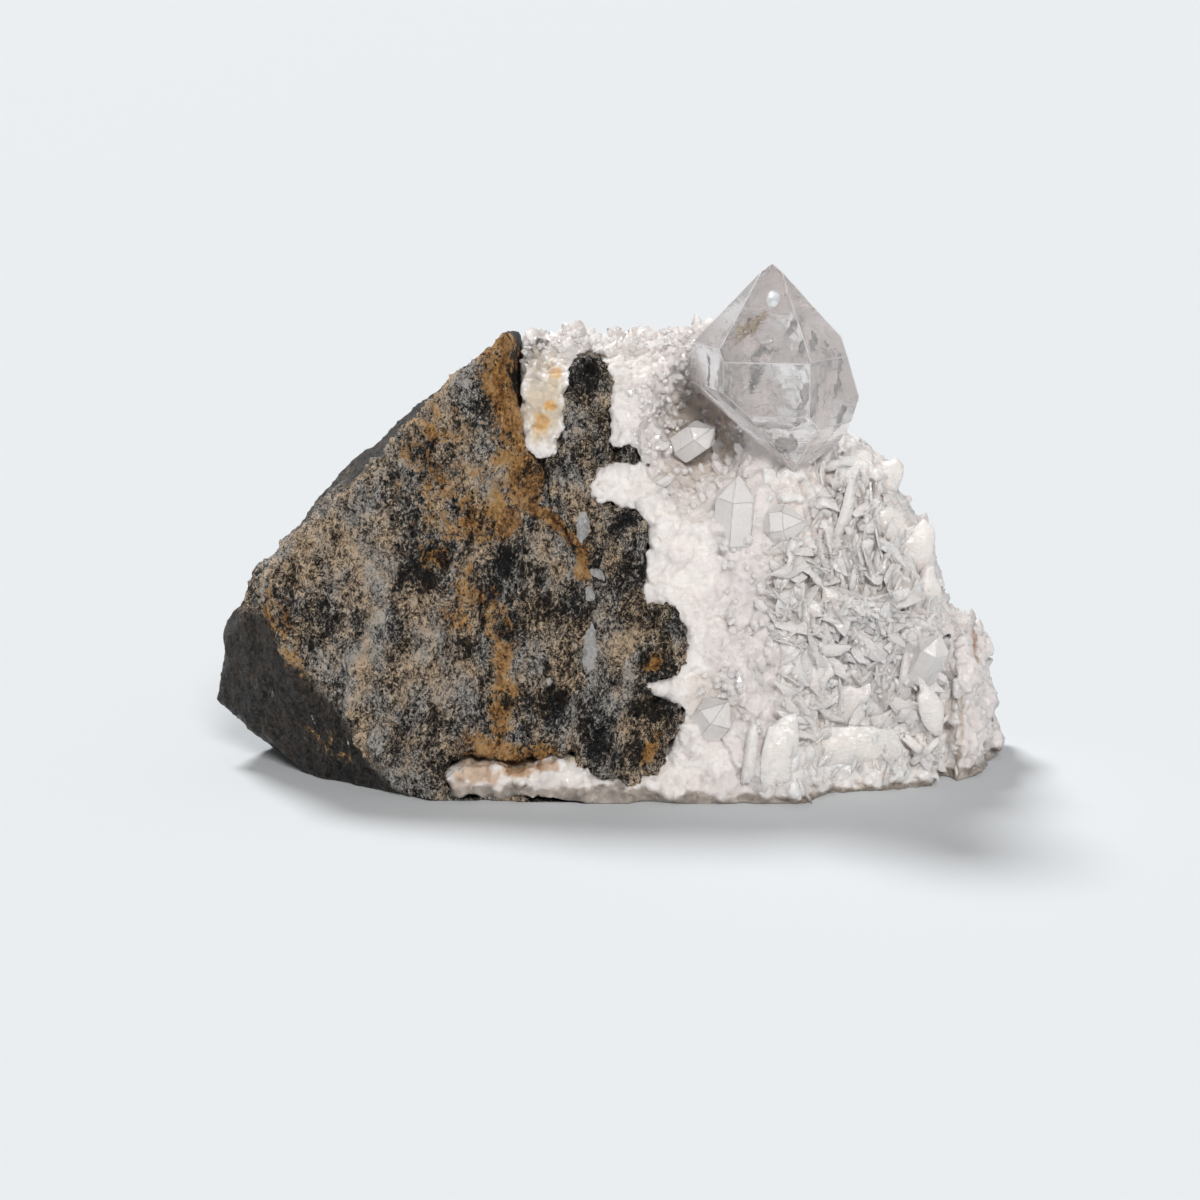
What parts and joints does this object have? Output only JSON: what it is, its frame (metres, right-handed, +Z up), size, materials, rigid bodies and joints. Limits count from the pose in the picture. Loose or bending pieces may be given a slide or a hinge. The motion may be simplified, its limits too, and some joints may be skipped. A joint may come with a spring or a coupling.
{
  "type": "quartz crystal on matrix specimen",
  "caption": "Double-ended clear quartz crystal standing on a white drusy and bladed quartz crust, on foliated dark wall rock with a flat base.",
  "frame": {"origin": "centre of the flat base, below the middle of the bounding box", "axes": "+X along the specimen's length, towards the quartz end; -Y out of the show face; +Z up"},
  "size_m": [0.0917, 0.0436, 0.0592],
  "materials": {
    "wall_rock": "rough, foliated, grey-black with rust-orange and buff streaks",
    "white_quartz": "sugary to glassy, translucent white",
    "clear_quartz": "clear, glossy flat faces with inner veils"
  },
  "bodies": {
    "root": {"host_rock": "wall_rock", "quartz_crust": "white_quartz", "herkimer_crystal": "clear_quartz", "side_crystal": "clear_quartz", "pocket_crystal": "clear_quartz", "bead_crystal": "clear_quartz", "low_crystal": "clear_quartz", "end_crystal": "clear_quartz"}
  },
  "joints": []
}
